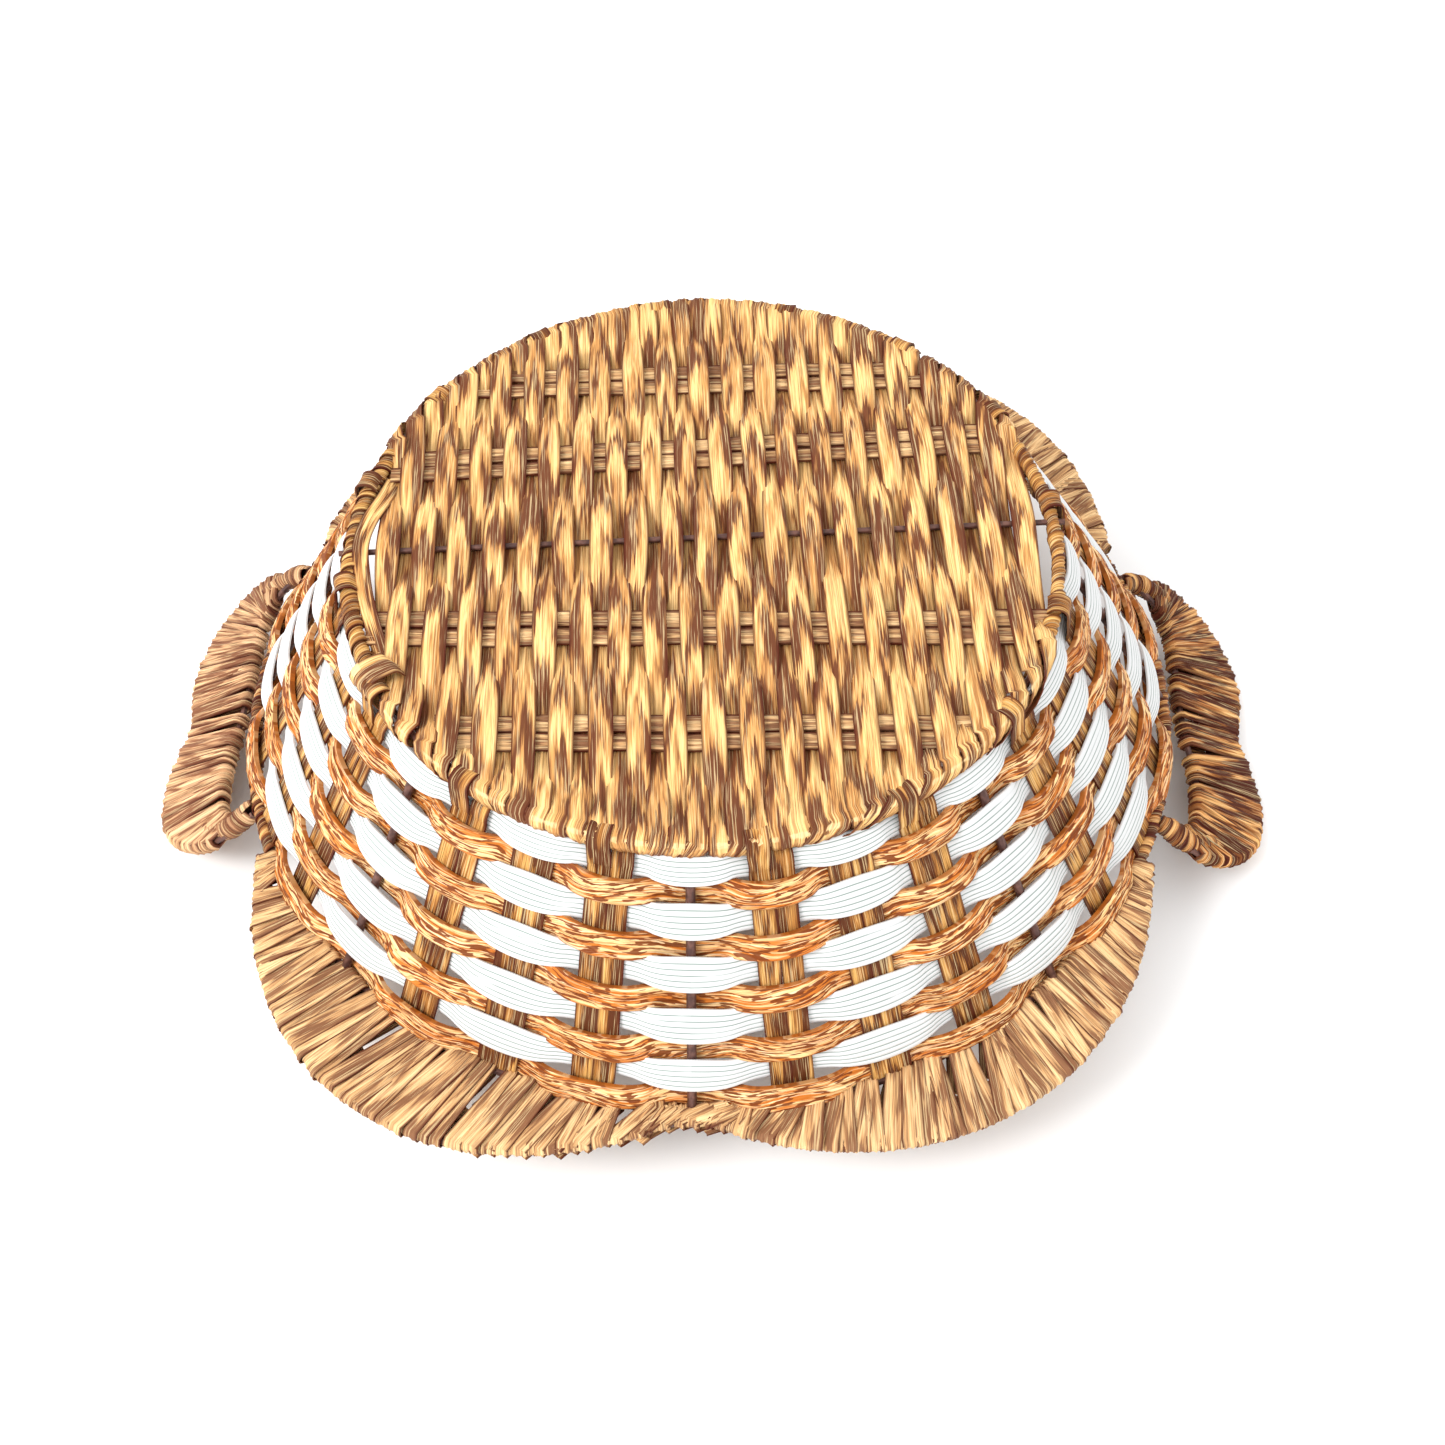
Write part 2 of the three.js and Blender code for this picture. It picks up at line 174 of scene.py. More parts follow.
# ---- Camera, floor and light ----
def make_camera():
    """The photograph's viewpoint: from the front and 53 degrees up, leaning a little to one side."""
    distance = 0.6179
    target = Vector((0.0067, -0.0396, RIM_Z + 0.036))
    azimuth, elevation, roll = math.radians(-2.77), math.radians(53.06), math.radians(-1.56)
    ahead = Vector((math.sin(azimuth) * math.cos(elevation), math.cos(azimuth) * math.cos(elevation),
                    -math.sin(elevation)))
    data = bpy.data.cameras.new("camera")
    data.sensor_width = 36
    data.lens = 46.09
    camera = bpy.data.objects.new("camera", data)
    level = ahead.to_track_quat("-Z", "Y").to_matrix().to_4x4()
    place = Matrix.Translation(target - distance * ahead)
    camera.matrix_world = place @ level @ Matrix.Rotation(roll, 4, "Z")
    bpy.context.scene.collection.objects.link(camera)
    bpy.context.scene.camera = camera


def make_lamp(name, place, aim, size, power):
    data = bpy.data.lights.new(name, "AREA")
    data.size = size
    data.energy = power
    lamp = bpy.data.objects.new(name, data)
    lamp.location = place
    lamp.rotation_euler = (Vector(aim) - Vector(place)).to_track_quat("-Z", "Y").to_euler()
    bpy.context.scene.collection.objects.link(lamp)


def make_light():
    bpy.context.scene.view_settings.view_transform = "Standard"
    world = bpy.data.worlds.new("studio")
    world.use_nodes = True
    background = world.node_tree.nodes["Background"]
    background.inputs["Color"].default_value = (1.0, 1.0, 1.0, 1)
    background.inputs["Strength"].default_value = 1.28
    bpy.context.scene.world = world
    middle = (0, 0, 0.05)
    make_lamp("key", (-1.0, -0.7, 1.3), middle, 0.7, 21)
    make_lamp("fill", (0.9, -1.3, 1.1), middle, 1.2, 3)


def make_floor(height):
    half = 3.0
    corners = [(-half, -half, height), (half, -half, height), (half, half, height), (-half, half, height)]
    mesh = bpy.data.meshes.new("floor")
    mesh.from_pydata(corners, [], [(0, 1, 2, 3)])
    floor = bpy.data.objects.new("floor", mesh)
    pale = bpy.data.materials.new("floor_pale")
    pale.use_nodes = True
    shader = pale.node_tree.nodes["Principled BSDF"]
    shader.inputs["Base Color"].default_value = (0.93, 0.93, 0.93, 1)
    shader.inputs["Roughness"].default_value = 0.9
    mesh.materials.append(pale)
    bpy.context.scene.collection.objects.link(floor)


# ---- Materials ----
class Nodes:
    """A short way to write one material's node tree. Numbers and links are both accepted as inputs."""

    def __init__(self, name):
        self.material = bpy.data.materials.new(name)
        self.material.use_nodes = True
        self.tree = self.material.node_tree
        self.shader = self.tree.nodes["Principled BSDF"]

    def put(self, socket, value):
        if isinstance(value, bpy.types.NodeSocket):
            self.tree.links.new(value, socket)
        else:
            socket.default_value = value

    def add(self, kind, settings=None, **inputs):
        node = self.tree.nodes.new(kind)
        for key, value in (settings or {}).items():
            setattr(node, key, value)
        for key, value in inputs.items():
            self.put(node.inputs[key.replace("_", " ")], value)
        return node

    def math(self, operation, a, b=0.0):
        node = self.tree.nodes.new("ShaderNodeMath")
        node.operation = operation
        self.put(node.inputs[0], a)
        self.put(node.inputs[1], b)
        return node.outputs[0]

    def strip_place(self):
        """Metres along the strip and across it, the strip's own number, and -1 to 1 from edge to edge."""
        place = self.add("ShaderNodeUVMap", {"uv_map": "strip"})
        own = self.add("ShaderNodeUVMap", {"uv_map": "own"})
        metres = self.add("ShaderNodeSeparateXYZ", Vector=place.outputs["UV"])
        number = self.add("ShaderNodeSeparateXYZ", Vector=own.outputs["UV"])
        return metres.outputs["X"], metres.outputs["Y"], number.outputs["X"], number.outputs["Y"]

    def noise(self, place, cell, layer=0.0, detail=2.0, roughness=0.5):
        """Noise about 0.5 at a place (along, across, number), with cells (length, width) in metres.

        Each layer is another noise.
        """
        along, across, number = place
        own_part = self.math("MULTIPLY", number, 3.7)  # so that no two strips have the same marks
        spot = self.add("ShaderNodeCombineXYZ", X=self.math("DIVIDE", along, cell[0]),
                        Y=self.math("DIVIDE", across, cell[1]), Z=self.math("ADD", own_part, layer))
        node = self.add("ShaderNodeTexNoise", Vector=spot.outputs["Vector"], Scale=1.0, Detail=detail,
                        Roughness=roughness)
        return node.outputs["Fac"]

    def warp(self, value, noise, reach):
        """The value moved to and fro by a noise, by up to about half the reach."""
        return self.math("ADD", value, self.math("MULTIPLY", self.math("SUBTRACT", noise, 0.5), reach))

    def ramp(self, value, low, high, most=1.0):
        """0 below low and most above high, smoothly between."""
        node = self.add("ShaderNodeMapRange", {"interpolation_type": "SMOOTHSTEP"}, Value=value,
                        From_Min=low, From_Max=high, To_Max=most)
        return node.outputs["Result"]

    def mix(self, share, a, b):
        node = self.tree.nodes.new("ShaderNodeMix")
        node.data_type = "RGBA"
        self.put(node.inputs[0], share)
        self.put(node.inputs[6], a)
        self.put(node.inputs[7], b)
        return node.outputs[2]

    def bump(self, height, distance):
        node = self.add("ShaderNodeBump", Height=height, Distance=distance)
        self.put(self.shader.inputs["Normal"], node.outputs["Normal"])

    def finish(self, colour, roughness, **sockets):
        self.put(self.shader.inputs["Base Color"], colour)
        self.put(self.shader.inputs["Roughness"], roughness)
        for key, value in sockets.items():
            self.put(self.shader.inputs[key.replace("_", " ")], value)
        return self.material


def rgb(red, green, blue):
    """A shader colour from screen values between 0 and 255."""
    shares = [value / 255 for value in (red, green, blue)]
    linear = [v / 12.92 if v <= 0.04045 else ((v + 0.055) / 1.055) ** 2.4 for v in shares]
    return (*linear, 1.0)


RAFFIA_LIGHT = rgb(255, 228, 172)
# painted shade for the strips' edges
RAFFIA_EDGE_SHADE = rgb(76, 16, 0)
# painted shade for the base strips' low places
RAFFIA_DIP_SHADE = rgb(116, 60, 22)
# painted highlight for the base strips' crease at the ring
RAFFIA_CREASE_HIGHLIGHT = rgb(250, 216, 160)
CANE_ORANGE = rgb(206, 117, 40)
CANE_CREAM = rgb(250, 208, 146)
CANE_DARK_LINE = rgb(176, 96, 24)
CANE_LIGHT_LINE = rgb(255, 234, 194)
CANE_STROKE = rgb(120, 54, 10)
CANE_EDGE = rgb(152, 84, 28)


def raffia(name, pale, mid, dark, level=0.5, outline=0.74, uneven=0.12, base=False):
    """Flat strip, gold with dark flames that fray into points along the fibres.

    A lower level is darker, the strip's edges get painted shade from outline outwards, and one strip differs
    from the next by uneven. base adds painted shade where the base strips dip and a painted highlight on
    their crease at the ring.
    """
    n = Nodes(name)
    along, across, number, edge = n.strip_place()
    edge = n.math("ABSOLUTE", edge)
    fibre = n.noise((along, across, number), (0.030, 0.0007), 0.0, 3.0, 0.65)
    fine = n.noise((along, across, number), (0.018, 0.00036), 9.0, 2.0, 0.6)
    frayed = n.math("ADD", n.warp(along, fibre, 0.034), n.math("MULTIPLY", edge, 0.013))
    flame = n.noise((frayed, across, number), (0.0145, 0.0055), 4.0, 1.0, 0.4)
    flame = n.warp(flame, n.noise((0.0, 0.0, number), (1.0, 1.0), 20.0, 0.0), uneven)
    halo = n.ramp(flame, level - 0.13, level - 0.01)
    core = n.ramp(flame, level - 0.01, level + 0.08)
    colour = n.mix(core, n.mix(halo, pale, mid), dark)
    colour = n.mix(n.ramp(fine, 0.51, 0.60, 0.5), colour, dark)
    colour = n.mix(n.ramp(fine, 0.47, 0.36, 0.45), colour, RAFFIA_LIGHT)
    # painted shade along the strip's edges, where it meets and lies under its neighbours
    colour = n.mix(n.ramp(edge, outline, 1.0, 0.9), colour, RAFFIA_EDGE_SHADE)
    if base:
        colour = paint_base_shade_and_highlight(n, colour, n.ramp(flame, level + 0.03, level - 0.05))
    n.bump(n.math("ADD", fibre, n.math("MULTIPLY", fine, 0.7)), 0.0006)
    return n.finish(colour, 0.6, Specular_IOR_Level=0.2)


def paint_base_shade_and_highlight(n, colour, patches):
    """Painted shade, browner, where a strip dips, and a painted highlight in patches on its crease at the
    ring.
    """
    place = n.add("ShaderNodeSeparateXYZ", Vector=n.add("ShaderNodeTexCoord").outputs["Object"])
    x, y, height = (place.outputs[axis] for axis in "XYZ")
    radius = n.math("SQRT", n.math("ADD", n.math("MULTIPLY", x, x), n.math("MULTIPLY", y, y)))
    # painted shade: browner where the strip lies low, under its neighbours and round the ring
    dip_shade = n.ramp(height, BASE_Z + 0.0012, BASE_Z - 0.0022, 0.6)
    outside = n.ramp(radius, BASE_RADIUS + 0.0025, BASE_RADIUS + 0.0030)
    # painted highlight on the top of the crease, outside the ring
    crease = n.math("MULTIPLY", outside, n.ramp(height, BASE_Z + 0.0020, BASE_Z + 0.0028, 0.7))
    colour = n.mix(dip_shade, colour, RAFFIA_DIP_SHADE)
    return n.mix(n.math("MULTIPLY", crease, patches), colour, RAFFIA_CREASE_HIGHLIGHT)


def cane(name):
    """Orange strip with cream streaks and dark strokes that flow along it at a slant."""
    n = Nodes(name)
    along, across, number, edge = n.strip_place()
    edge = n.math("ABSOLUTE", edge)
    flow = n.noise((along, across, number), (0.030, 0.012), 2.0, 1.0)
    bent = n.warp(across, flow, 0.010)
    streak = n.noise((along, bent, number), (0.022, 0.00085), 0.0, 2.0, 0.6)
    stroke = n.noise((along, bent, number), (0.0055, 0.00065), 7.0, 1.5, 0.5)
    line = n.noise((along, bent, number), (0.030, 0.00032), 5.0, 2.0)
    colour = n.mix(n.ramp(streak, 0.43, 0.58), CANE_ORANGE, CANE_CREAM)
    colour = n.mix(n.ramp(line, 0.52, 0.62, 0.6), colour, CANE_DARK_LINE)
    colour = n.mix(n.ramp(line, 0.44, 0.36, 0.6), colour, CANE_LIGHT_LINE)
    colour = n.mix(n.ramp(stroke, 0.51, 0.555, 0.95), colour, CANE_STROKE)
    colour = n.mix(n.ramp(edge, 0.86, 1.0, 0.7), colour, CANE_EDGE)
    n.bump(n.math("ADD", streak, n.math("MULTIPLY", line, 0.6)), 0.0008)
    return n.finish(colour, 0.5, Specular_IOR_Level=0.2)


def white_strip(name, ribs):
    """White plastic strip with a fine grey line in the groove between two ribs, but none at its edges."""
    n = Nodes(name)
    along, across, number, edge = n.strip_place()
    turns = n.math("MULTIPLY", n.math("ADD", edge, 1.0), math.pi * ribs / 2)
    wave = n.math("ABSOLUTE", n.math("SINE", turns))
    patch = n.noise((along, across, number), (0.020, 0.004), 0.0, 2.0)
    line = n.math("MULTIPLY", n.ramp(wave, 0.50, 0.10), n.ramp(patch, 0.22, 0.45))
    line = n.math("MULTIPLY", line, n.ramp(n.math("ABSOLUTE", edge), 0.95, 0.88))
    colour = n.mix(line, rgb(212, 213, 213), rgb(122, 138, 130))
    return n.finish(colour, 0.5)


def steel(name):
    """Dark brown lacquered wire with a slightly uneven coat."""
    n = Nodes(name)
    place = n.add("ShaderNodeTexCoord").outputs["Object"]
    coat = n.add("ShaderNodeTexNoise", Vector=place, Scale=400.0, Detail=3.0).outputs["Fac"]
    colour = n.mix(n.ramp(coat, 0.35, 0.7), rgb(70, 42, 36), rgb(112, 74, 62))
    n.bump(coat, 0.0002)
    return n.finish(colour, 0.38, Metallic=0.3)


# ---- Strips ----
def wander(rng, count, step, reach):
    """A smooth random series: a new random value every step places."""
    knots = rng.normal(0, reach, count // step + 3)
    where = np.arange(count) / step
    left = where.astype(int)
    share = (1 - np.cos(np.pi * (where - left))) / 2
    return knots[left] * (1 - share) + knots[left + 1] * share


def unit(vectors):
    return vectors / np.linalg.norm(vectors, axis=-1, keepdims=True)


def distances(points):
    """How far along a path each of its points is."""
    return np.concatenate([[0], np.cumsum(np.linalg.norm(np.diff(points, axis=0), axis=1))])


def points_at(where, points):
    """A path's points at some distances along it."""
    length = distances(points)
    return np.stack([np.interp(where, length, column) for column in points.T], -1)


def ribbon_section(width, thickness, crown, depth, columns=12):
    """A thin cupped band's outline, [across, up], with ridges of some depth along its top."""
    across = np.linspace(-0.5, 0.5, columns + 1)
    arch = crown * (1 - 4 * across ** 2)
    groove = depth * (np.cos(2 * np.pi * RIDGES * across) - 1) * (1 - (2 * across) ** 8)
    top = np.stack([across * width, arch + groove + thickness / 2], 1)
    bottom = np.stack([across * width, arch - thickness / 2], 1)
    return np.concatenate([bottom, top[::-1]])


def round_section(radius):
    sides = 12
    turn = 2 * np.pi * np.arange(sides) / sides
    return radius * np.stack([np.cos(turn), np.sin(turn)], 1)


def smooth_curve(points, steps):
    """A centripetal Catmull-Rom curve through points."""
    points = np.array(points, float)
    points = np.concatenate([[2 * points[0] - points[1]], points, [2 * points[-1] - points[-2]]])
    curve = []
    for a, b, c, d in zip(points, points[1:], points[2:], points[3:]):
        tb = np.linalg.norm(b - a) ** 0.5
        tc = tb + np.linalg.norm(c - b) ** 0.5
        td = tc + np.linalg.norm(d - c) ** 0.5
        for t in np.linspace(tb, tc, steps, endpoint=False):
            ab = (tb - t) / tb * a + t / tb * b
            bc = (tc - t) / (tc - tb) * b + (t - tb) / (tc - tb) * c
            cd = (td - t) / (td - tc) * c + (t - tc) / (td - tc) * d
            abc = (tc - t) / tc * ab + t / tc * bc
            bcd = (td - t) / (td - tb) * bc + (t - tb) / (td - tb) * cd
            curve.append((tc - t) / (tc - tb) * abc + (t - tb) / (tc - tb) * bcd)
    curve.append(points[-2])
    return np.array(curve)


class Strips:
    """Gathers swept strips and makes one object of them."""

    def __init__(self):
        self.points = []
        self.faces = []
        self.maps = []
        self.owns = []
        self.count = 0

    def sweep(self, centres, ups, section, widths=1.0, lifts=0.0, tilts=0.0, closed=False, seed=0.0):
        """Carries a section along the centres, its first axis across the path and its second along ups.

        At every centre, widths scales it across, lifts raises its points and tilts turns it about the path.
        """
        rows = len(centres)
        ahead = np.roll(centres, -1, 0) - np.roll(centres, 1, 0)
        if not closed:
            ahead[0] = centres[1] - centres[0]
            ahead[-1] = centres[-1] - centres[-2]
        ahead = unit(ahead)
        sides = unit(np.cross(np.broadcast_to(ups, centres.shape), ahead))
        ups = np.cross(ahead, sides)
        tilts = np.broadcast_to(tilts, rows)[:, None]
        cos, sin = np.cos(tilts), np.sin(tilts)
        sides, ups = sides * cos + ups * sin, ups * cos - sides * sin
        across = np.broadcast_to(widths, rows)[:, None] * section[None, :, 0]
        up = section[None, :, 1] + np.broadcast_to(lifts, (rows, len(section)))
        points = centres[:, None] + sides[:, None] * across[..., None] + ups[:, None] * up[..., None]
        self.add_faces(distances(centres), section[:, 0], closed, seed)
        self.points.append(points.reshape(-1, 3))
        self.count += rows * len(section)

    def add_faces(self, along, across, closed, seed):
        """The faces between a sweep's rows and, unless it is closed, over its two ends."""
        rows, columns = len(along), len(across)
        if closed:
            along = np.append(along, 2 * along[-1] - along[-2])
        bands = rows if closed else rows - 1
        i, j = (grid.ravel() for grid in np.meshgrid(np.arange(bands), np.arange(columns), indexing="ij"))
        next_i, next_j = (i + 1) % rows, (j + 1) % columns
        corners = (i * columns + j, i * columns + next_j, next_i * columns + next_j, next_i * columns + j)
        self.faces.extend((self.count + np.stack(corners, 1)).tolist())
        edge = across / np.abs(across).max()
        beside = np.stack([j, next_j, next_j, j], 1)
        self.add_map(along[np.stack([i, i, i + 1, i + 1], 1)], across[beside], seed, edge[beside])
        if not closed:
            start = self.count + np.arange(columns)
            self.faces.append(start[::-1].tolist())
            self.add_map(np.full(columns, along[0]), across[::-1], seed, edge[::-1])
            self.faces.append((start + (rows - 1) * columns).tolist())
            self.add_map(np.full(columns, along[-1]), across, seed, edge)

    def add_map(self, along, across, seed, edge):
        self.maps.append(np.stack([along.ravel(), across.ravel()], 1))
        self.owns.append(np.stack([np.full(along.size, seed), edge.ravel()], 1))

    def finish(self, name, material, slot, *replaces):
        mesh = bpy.data.meshes.new(name)
        mesh.from_pydata(np.concatenate(self.points).tolist(), [], self.faces)
        for layer, values in (("strip", self.maps), ("own", self.owns)):
            uv = mesh.uv_layers.new(name=layer)
            uv.data.foreach_set("uv", np.concatenate(values).astype(np.float32).ravel())
        mesh.polygons.foreach_set("use_smooth", np.ones(len(mesh.polygons), bool))
        mesh.set_sharp_from_angle(angle=math.radians(50))
        mesh.materials.append(material)
        piece = bpy.data.objects.new(name, mesh)
        bpy.context.scene.collection.objects.link(piece)
        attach(piece, "root")
        if replaces:
            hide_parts(*replaces)


def wind(strips, guide, outwards, radius, pitch, width, rng, seed):
    """Winds a strip round a guide curve like a rope. outwards holds a direction square to the guide."""
    length = distances(guide)
    count = int(length[-1] / pitch * ROPE_STEPS)
    where = np.linspace(0, length[-1], count)
    at = points_at(where, guide)
    out = unit(np.stack([np.interp(where, length, column) for column in outwards.T], -1))
    ahead = unit(np.gradient(at, axis=0))
    aside = np.cross(ahead, out)
    spin = 2 * np.pi * (where / pitch + wander(rng, count, 30, 0.06))
    ups = out * np.cos(spin)[:, None] + aside * np.sin(spin)[:, None]
    swell = radius + wander(rng, count, 12, 0.00022)
    section = ribbon_section(width, RAFFIA_THICKNESS, 0.0006, 0.00022, columns=10)
    widths = 1 + wander(rng, count, 14, 0.09)
    tilts = 0.12 + wander(rng, count, 15, 0.09)
    strips.sweep(at + ups * swell[:, None], ups, section, widths=widths, tilts=tilts, seed=seed)


def wind_between(strips, inner, outer, normal, starts, ends, widths, rng, seed, crown):
    """Winds a strip round two wires: out over the top from the inner to the outer one, and back below.

    inner and outer give a wire's point at a place along it. starts are the turns' places on the inner wire
    and ends those on the outer one. widths is the strip's width at the inner wire and at the outer one.
    """
    grip = WIRE + RAFFIA_THICKNESS
    near_pitch = (starts[-1] - starts[0]) / (len(starts) - 1)
    far_pitch = (ends[-1] - ends[0]) / (len(ends) - 1)
    near_arc = np.linspace(-0.5, -1.5, 7) * math.pi
    far_arc = np.linspace(0.5, -0.5, 7) * math.pi
    across = np.linspace(0, 1, 11)[1:-1]
    below = np.linspace(0.5, 0.1, 3)
    flat = np.ones(len(below))
    slip = np.concatenate([-below, np.zeros(len(near_arc) + len(across) + len(far_arc)), below[::-1]])
    height = grip * np.concatenate([-flat, np.sin(near_arc), np.ones(len(across)), np.sin(far_arc), -flat])
    top = height > -0.5 * grip
    section = ribbon_section(widths[0], RAFFIA_THICKNESS, crown, 0.0003)
    for turn, (near, far) in enumerate(zip(starts, ends)):
        reach = np.linalg.norm(outer(far) - inner(near))
        out = np.concatenate([below * reach, grip * np.cos(near_arc), across * reach,
                              reach + grip * np.cos(far_arc), (1 - below[::-1]) * reach])
        layer = rng.uniform(0, 2 * LAYER) + (turn % 2) * LAYER
        rise = height + np.where(top, layer, -layer)
        start = np.array([inner(near + s * near_pitch) for s in slip])
        end = np.array([outer(far + s * far_pitch) for s in slip])
        square = unit(np.cross(outer(far + 0.001) - outer(far - 0.001), normal))
        centres, aside = lay_turn(start, end, square, out, reach, grip, normal)
        centres = centres + normal * rise[:, None]
        ups = np.cross(aside, np.gradient(centres, axis=0))
        spread = np.clip(out / reach, 0, 1)
        fold = rng.choice(FOLDS)
        scale = fold * (1 + (widths[1] / widths[0] - 1) * spread)
        tilts = np.where(top, rng.normal(0.05, 0.08), 0) + wander(rng, len(out), 5, 0.05)
        strips.sweep(centres, ups, section, widths=scale, tilts=tilts, seed=seed + turn)


def lay_turn(start, end, square, out, reach, grip, normal):
    """A turn's points in the plane of the two wires, and the directions across it.

    It runs straight between the wires, from start to end. Beyond them it runs square to the outer wire, so
    that its edges follow the wire, but less so where the wires are close together. out is each point's
    distance from the inner wire, and reach the outer wire's.
    """
    direction = unit(end - start)
    share = min(1.0, reach / FULL_SQUARE)
    square = unit((1 - share) * direction + share * square * np.sign(direction @ square)[:, None])
    beyond = out - np.clip(out, 0, reach)
    points = start + direction * (out - beyond)[:, None] + square * beyond[:, None]
    turned = np.clip(np.abs(beyond) / (0.6 * grip), 0, 1)[:, None]
    return points, np.cross(unit((1 - turned) * direction + turned * square), normal)


# ---- Wall ----
def around(angle):
    """The outward direction at an angle from the front, growing towards +X."""
    angle = np.asarray(angle)
    return np.stack([np.sin(angle), -np.cos(angle), np.zeros_like(angle)], -1)


def wall_point(angle, along, off=0.0):
    """A point on the wall: its angle, how far down the slope from the base ring, and how far outside it."""
    radius = BASE_RADIUS + along * math.sin(WALL_TILT) + off * math.cos(WALL_TILT)
    height = BASE_Z - along * math.cos(WALL_TILT) + off * math.sin(WALL_TILT)
    return around(angle) * np.asarray(radius)[..., None] + UP * np.asarray(height)[..., None]


def wall_normal(angle):
    return around(angle) * math.cos(WALL_TILT) + UP * math.sin(WALL_TILT)


def weave_phase():
    """Angles round the wall and, at each of them, how the bands lie.

    phase goes from 1 at an even stake to -1 at an odd one. side is the same with flat tops, for the side
    that a band keeps to as it passes a wide stake. bare is 1 at a bare stake and 0 at its neighbours.
    """
    stakes = np.arange(STAKES * BAND_STEPS) / BAND_STEPS
    phase = np.cos(np.pi * stakes)
    flatness = 2.2
    side = np.tanh(flatness * phase) / math.tanh(flatness)
    from_bare = np.abs((stakes + BARE_EVERY / 2) % BARE_EVERY - BARE_EVERY / 2)
    bare = np.cos(np.pi / 2 * np.minimum(from_bare, 1))
    return stakes * STAKE_STEP, phase, side, bare


def make_cane(row, material):
    """A cane band: outside the odd stakes and inside the even ones, where the ribbed band covers its top."""
    angle, phase, side, bare = weave_phase()
    section = ribbon_section(CANE_WIDTH, CANE_THICKNESS, 0.0004, 0.0, columns=24)
    top = np.arange(len(section)) >= len(section) // 2
    across = section[None, :, 0] / CANE_WIDTH
    drift = (np.sin(angle * 5 + row) * 1.3 + np.sin(angle * 13 + 2 * row) * 0.6)[:, None]
    broad = np.cos(2 * np.pi * (3 * across + drift))
    fine = np.cos(2 * np.pi * (8 * across - 1.7 * drift))
    lifts = (0.00022 * broad + 0.00013 * fine) * top
    over, under = np.maximum(-phase, 0), np.maximum(phase, 0)
    along = CANE_BOTTOM + row * CANE_PITCH - CANE_MIDDLE + 0.0014 * over + 0.0006 * under
    along += 0.0003 * np.sin(angle * 7 + row)
    off = np.where(phase > 0, -side * (0.0020 + WIRE_CLEAR * bare), -side * 0.0015)
    if row == ROWS - 1:
        along = np.minimum(along, WALL_LENGTH - RIM_CLEAR)
        off += 0.0006 * (1 - phase)
    widths = 1 + 0.05 * np.sin(angle * 11 + 3 * row)
    strips = Strips()
    strips.sweep(wall_point(angle, along, off), wall_normal(angle), section, widths=widths, lifts=lifts,
                 closed=True, seed=row)
    strips.finish(f"cane_{row + 1}", material, "orange_brown_cane", f"cane_band_{row + 1}")


def make_ribbed(row, material):
    """A ribbed band: it bellies out and down over the even stakes, and is narrower behind the odd ones."""
    angle, phase, side, bare = weave_phase()
    over, under = np.maximum(phase, 0), np.maximum(-phase, 0)
    bottom = CANE_BOTTOM + row * CANE_PITCH
    upper = bottom - RIBBED_TOP - 0.0012 * over - 0.0006 * under
    lower = bottom - RIBBED_BOTTOM + 0.0013 * over + (0.0007 - 0.0004 * row) * under
    if row == ROWS - 1:
        lower -= 0.0010
    if row == 0:
        upper = np.maximum(upper, RING_CLEAR)
    across = np.linspace(-0.5, 0.5, RIBS * 6 + 1)
    rib = 0.00024 * np.abs(np.sin(np.pi * RIBS * across)) ** 0.7
    belly = 0.0005 * (1 - 4 * across ** 2)
    half = 0.0003  # of the thickness
    outside = np.stack([across * RIBBED_WIDTH, belly + rib + half], 1)
    inside = np.stack([across * RIBBED_WIDTH, belly - half], 1)
    section = np.concatenate([inside, outside[::-1]])
    off = np.where(phase > 0, side * (0.0011 + WIRE_CLEAR * bare), side * 0.0016)
    strips = Strips()
    strips.sweep(wall_point(angle, (upper + lower) / 2, off), wall_normal(angle), section,
                 widths=(lower - upper) / RIBBED_WIDTH, closed=True, seed=row)
    strips.finish(f"ribbed_{row + 1}", material, "white_ribbed_strip", f"ribbed_band_{row + 1}")


def make_stake_wire(index, material):
    name = f"stake_wire_{index:02d}"
    angle = index * STAKE_STEP
    along = np.linspace(-STAKE_INSET, WALL_LENGTH - STAKE_INSET, 12)
    strips = Strips()
    centres = wall_point(np.full(len(along), angle), along)
    strips.sweep(centres, wall_normal(angle), round_section(STAKE_WIRE), seed=index)
    strips.finish(f"bare_{name}", material, "wire", name)


def make_stake_twin(index, material):
    """Two flat strips side by side down the wall, with their loops at the base ring."""
    name = f"stake_twin_{index:02d}"
    angle = index * STAKE_STEP
    rng = np.random.default_rng(300 + index)
    aside = around(angle + math.pi / 2)
    strips = Strips()
    paths = (OVER_RING, UNDER_RING) if index % 2 else (BEHIND_RING, BEHIND_RING)
    for side, path in zip((-1, 1), paths):
        loop = smooth_curve(path, 4) / 1000
        loop = around(angle) * (BASE_RADIUS + loop[:, :1]) + UP * (BASE_Z + loop[:, 1:])
        straight = np.linspace(TWIN_TOP, WALL_LENGTH - STAKE_INSET, 30)
        centres = np.concatenate([loop, wall_point(np.full(len(straight), angle), straight)])
        count = len(centres)
        centres += aside * (side * TWIN_ASIDE + wander(rng, count, 9, 0.00012))[:, None]
        ups = np.cross(np.gradient(centres, axis=0), aside)
        section = ribbon_section(TWIN_WIDTH, 0.0006, 0.0003, 0.0002, columns=14)
        widths = 1 + wander(rng, count, 9, 0.03)
        tilts = wander(rng, count, 11, 0.04)
        strips.sweep(centres, -ups, section, widths=widths, tilts=tilts, seed=index * 2 + side)
    strips.finish(f"raffia_{name}", material, "raffia", name)


